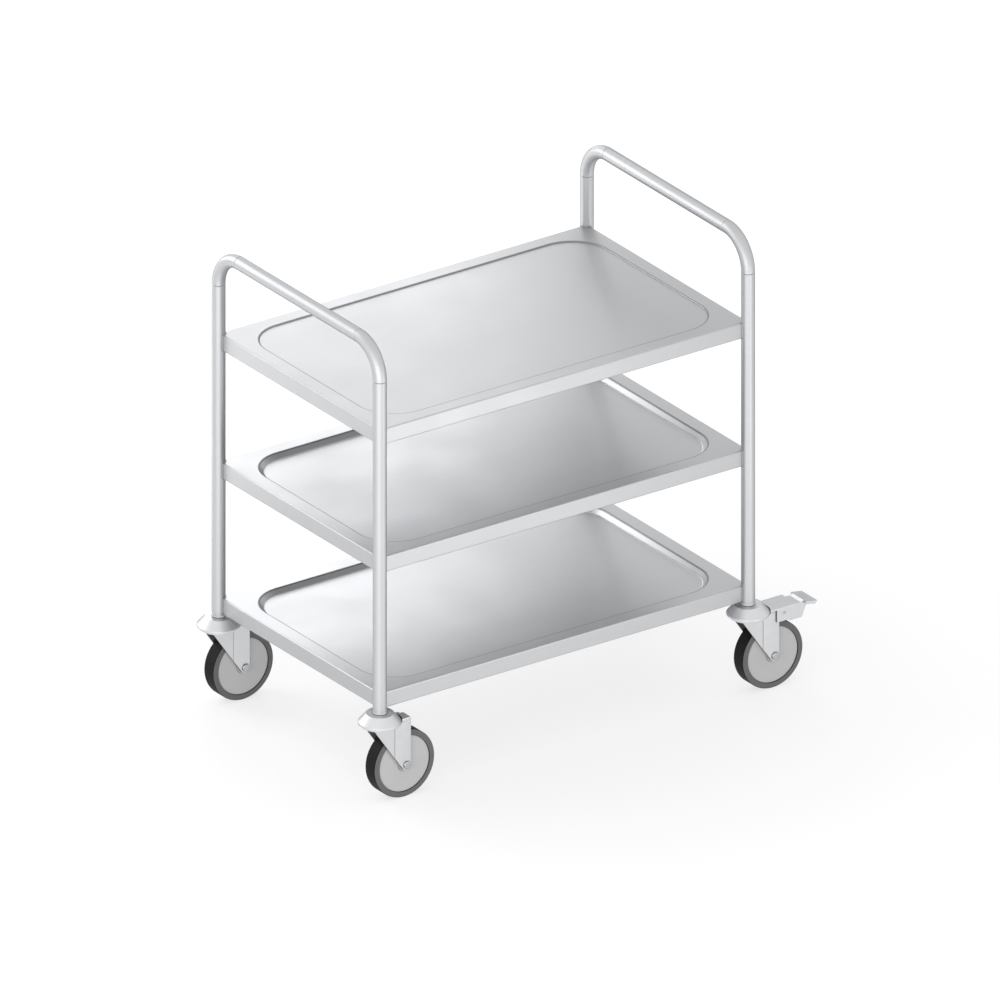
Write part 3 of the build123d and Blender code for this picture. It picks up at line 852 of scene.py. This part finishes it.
@dataclass
class Studio:
    """Pale floor, soft light and the camera of the picture."""

    azimuth: float = math.radians(-35)
    elevation: float = math.radians(25)
    image_pixels: float = 1000.0
    pixels_per_metre: float = 562.0
    centre_pixel: tuple[float, float] = (483.35, 696.5)
    camera_distance: float = 6.0
    floor_size: float = 16.0
    floor_colour: str = "#9A9A9A"
    near_glow: float = 0.7
    far_glow: float = 0.79
    near_reach: float = 0.45
    far_reach: float = 1.6
    ambient: float = 0.7
    world_colour: str = "#FFFFFF"
    aim_height: float = 0.5
    lamps: tuple[Softbox, ...] = (
        Softbox("front_softbox", bearing=-12, rise=5, distance=2.6, size=(3.0, 1.3), power=23),
        Softbox("left_softbox", bearing=-115, rise=25, distance=2.3, size=(1.4, 1.3), power=15),
        Softbox("left_low_softbox", bearing=-118, rise=-9.5, distance=1.75, size=(0.9, 0.3), power=1.7),
        Softbox("left_floor_softbox", bearing=-109, rise=-16.5, distance=1.3, size=(0.3, 0.2), power=0.35),
        Softbox("back_softbox", bearing=-167, rise=19, distance=2.4, size=(1.05, 1.0), power=10),
        Softbox("right_low_softbox", bearing=50, rise=-9.5, distance=1.85, size=(0.9, 0.3), power=3.2),
    )

    def seen_rays(self, tree: bpy.types.NodeTree) -> bpy.types.NodeSocket:
        """Tell rays that show the background from those that only light the object.

        Args:
            tree: Node tree of the floor or the world.

        Returns:
            Socket that is one for camera, glossy and transmission rays.
        """
        path = add_node(tree, "ShaderNodeLightPath")
        gloss = add_node(tree, "ShaderNodeMath", {
            0: path.outputs["Is Glossy Ray"], 1: path.outputs["Is Transmission Ray"],
        }, operation="MAXIMUM")
        seen = add_node(tree, "ShaderNodeMath", {
            0: path.outputs["Is Camera Ray"], 1: gloss.outputs[0],
        }, operation="MAXIMUM")
        return seen.outputs[0]

    def build_floor(self) -> None:
        """Lay the floor, white to the eye and dimmed only by the object's shadow.

        The lamps fade away from the object, and the paper's glow makes up for that.
        """
        bpy.ops.object.select_all(action="DESELECT")
        bpy.ops.mesh.primitive_plane_add(size=self.floor_size)
        floor = bpy.context.object
        floor.name = "floor"
        material = bpy.data.materials.new("white_paper_floor")
        material.use_nodes = True
        tree = material.node_tree
        tree.nodes.clear()
        paper = add_node(tree, "ShaderNodeBsdfDiffuse", {"Color": linear(self.floor_colour)})
        place = add_node(tree, "ShaderNodeTexCoord").outputs["Object"]
        distance = add_node(tree, "ShaderNodeVectorMath", {0: place}, operation="LENGTH")
        evened = add_node(tree, "ShaderNodeMapRange", {
            "Value": distance.outputs["Value"], "From Min": self.near_reach, "From Max": self.far_reach,
            "To Min": self.near_glow, "To Max": self.far_glow,
        })
        lift = add_node(tree, "ShaderNodeMath", {
            0: self.seen_rays(tree), 1: evened.outputs[0],
        }, operation="MULTIPLY")
        glow = add_node(tree, "ShaderNodeEmission", {"Strength": lift.outputs[0]})
        both = add_node(tree, "ShaderNodeAddShader", {0: paper.outputs[0], 1: glow.outputs[0]})
        add_node(tree, "ShaderNodeOutputMaterial", {"Surface": both.outputs[0]})
        floor.data.materials.append(material)

    def build_world(self) -> None:
        """Surround the object with white that is softer as light than as background."""
        world = bpy.data.worlds.new("white_studio")
        bpy.context.scene.world = world
        world.use_nodes = True
        tree = world.node_tree
        tree.nodes.clear()
        strength = add_node(tree, "ShaderNodeMapRange", {
            "Value": self.seen_rays(tree), "To Min": self.ambient, "To Max": 1.0,
        })
        back = add_node(tree, "ShaderNodeBackground", {
            "Color": linear(self.world_colour), "Strength": strength.outputs[0],
        })
        add_node(tree, "ShaderNodeOutputWorld", {"Surface": back.outputs[0]})

    def view_axes(self) -> tuple[Vector, Vector, Vector]:
        """Return the picture's right, up and back directions."""
        right = Vector((math.cos(self.azimuth), math.sin(self.azimuth), 0))
        back = Vector((
            math.sin(self.azimuth) * math.cos(self.elevation),
            -math.cos(self.azimuth) * math.cos(self.elevation),
            math.sin(self.elevation),
        ))
        return right, back.cross(right), back

    def build_camera(self, centre: Vector) -> None:
        """Set up the parallel view of the picture.

        Args:
            centre: Middle of the shelves, on the floor.
        """
        right, up, back = self.view_axes()
        half = self.image_pixels / 2
        target = centre + right * (half - self.centre_pixel[0]) / self.pixels_per_metre
        target += up * (self.centre_pixel[1] - half) / self.pixels_per_metre
        lens = bpy.data.cameras.new("picture_view")
        lens.type = "ORTHO"
        lens.ortho_scale = self.image_pixels / self.pixels_per_metre
        camera = bpy.data.objects.new("picture_view", lens)
        bpy.context.scene.collection.objects.link(camera)
        turn = Matrix((right, up, back)).transposed().to_4x4()
        camera.matrix_world = Matrix.Translation(target + back * self.camera_distance) @ turn
        bpy.context.scene.camera = camera

    def build(self) -> None:
        """Build the floor, the light and the camera."""
        low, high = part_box("top_shelf")
        middle = (low + high) / 2
        right, _, back = self.view_axes()
        front = Vector((back.x, back.y, 0)).normalized()
        self.build_floor()
        self.build_world()
        for lamp in self.lamps:
            lamp.hang(Vector((middle.x, middle.y, self.aim_height)), front, right)
        self.build_camera(Vector((middle.x, middle.y, 0)))
        bpy.context.scene.view_settings.view_transform = "Standard"


def main() -> None:
    """Dress the trolley and set up the studio."""
    logging.basicConfig(level=logging.INFO, format="%(name)s %(message)s")
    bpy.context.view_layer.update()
    TubeFrame().dress()
    for level in Level:
        shelf = Shelf(level)
        shelf.build()
        shelf.dress()
    for corner in Corner:
        Castor(corner).dress()
    Stems().dress()
    Brake().dress()
    Studio().build()


if __name__ == "__main__":
    main()
